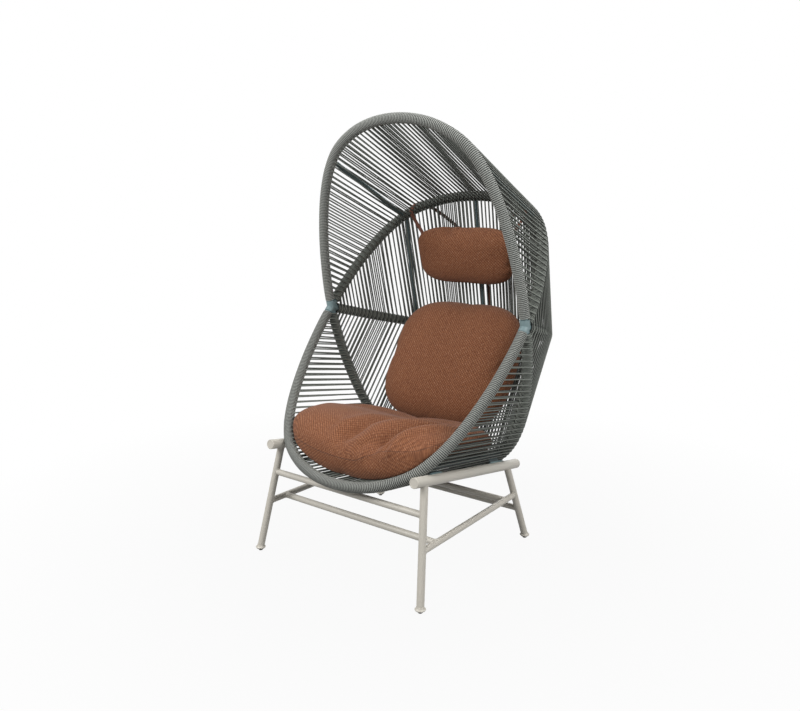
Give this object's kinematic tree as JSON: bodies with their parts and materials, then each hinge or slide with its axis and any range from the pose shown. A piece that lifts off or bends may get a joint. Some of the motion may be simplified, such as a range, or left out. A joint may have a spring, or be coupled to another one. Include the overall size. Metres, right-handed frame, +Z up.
{
  "type": "pod chair",
  "caption": "Highback pod lounge chair: cord-strung tubular shell on a splayed tube base, with seat cushion, back cushion and strapped head pillow.",
  "frame": {"origin": "on the floor under the middle of the whole chair", "axes": "+Z up, -Y towards the mouth of the pod, +X to the right of someone who looks into it"},
  "size_m": [0.9034, 0.976, 1.5261],
  "materials": {
    "base_paint": "satin powder coat, warm light grey",
    "shell_paint": "satin powder coat, teal grey",
    "cord": "braided grey outdoor cord",
    "cushion_cloth": "terracotta brown tweed",
    "strap_cloth": "brown woven strap",
    "glide_plastic": "black matte plastic"
  },
  "bodies": {
    "chair": {"upper_rim_tube": "shell_paint", "lower_rim_tube": "shell_paint", "hood_rib": "shell_paint", "middle_rib": "shell_paint", "seat_rib": "shell_paint", "corner_fitting_left": "shell_paint", "corner_fitting_right": "shell_paint", "hood_strut_left": "shell_paint", "hood_strut_right": "shell_paint", "back_upright_left": "shell_paint", "back_upright_right": "shell_paint", "back_upright_centre": "shell_paint", "seat_strut_left": "shell_paint", "seat_strut_right": "shell_paint", "hood_cord_side_left": "cord", "hood_cord_side_right": "cord", "upper_back_cord_side_left": "cord", "upper_back_cord_side_right": "cord", "lower_back_cord_side_left": "cord", "lower_back_cord_side_right": "cord", "seat_cord_side_left": "cord", "seat_cord_side_right": "cord", "hood_cord_middle_left": "cord", "hood_cord_middle_right": "cord", "upper_back_cord_middle_left": "cord", "upper_back_cord_middle_right": "cord", "lower_back_cord_middle_left": "cord", "lower_back_cord_middle_right": "cord", "seat_cord_middle_left": "cord", "seat_cord_middle_right": "cord", "rail_left": "base_paint", "rail_right": "base_paint", "leg_front_left": "base_paint", "leg_front_right": "base_paint", "leg_back_left": "base_paint", "leg_back_right": "base_paint", "front_stretcher": "base_paint", "back_stretcher": "base_paint", "side_stretcher_left": "base_paint", "side_stretcher_right": "base_paint", "front_cross_tube": "base_paint", "rear_cross_tube": "base_paint", "front_saddle_pad_left": "shell_paint", "front_saddle_pad_right": "shell_paint", "rear_saddle_pad_left": "shell_paint", "rear_saddle_pad_right": "shell_paint", "seat_cushion": "cushion_cloth", "back_cushion": "cushion_cloth", "head_pillow": "cushion_cloth", "pillow_strap_left": "strap_cloth", "pillow_strap_right": "strap_cloth"},
    "glide_front_left": {"glide_front_left": "glide_plastic"},
    "glide_front_right": {"glide_front_right": "glide_plastic"},
    "glide_back_left": {"glide_back_left": "glide_plastic"},
    "glide_back_right": {"glide_back_right": "glide_plastic"}
  },
  "joints": [
    {"name": "glide_front_left_screw", "type": "slide", "parent": "chair", "child": "glide_front_left", "axis": [0, 0, -1], "range_m": [0, 0.01]},
    {"name": "glide_front_right_screw", "type": "slide", "parent": "chair", "child": "glide_front_right", "axis": [0, 0, -1], "range_m": [0, 0.01]},
    {"name": "glide_back_left_screw", "type": "slide", "parent": "chair", "child": "glide_back_left", "axis": [0, 0, -1], "range_m": [0, 0.01]},
    {"name": "glide_back_right_screw", "type": "slide", "parent": "chair", "child": "glide_back_right", "axis": [0, 0, -1], "range_m": [0, 0.01]}
  ]
}
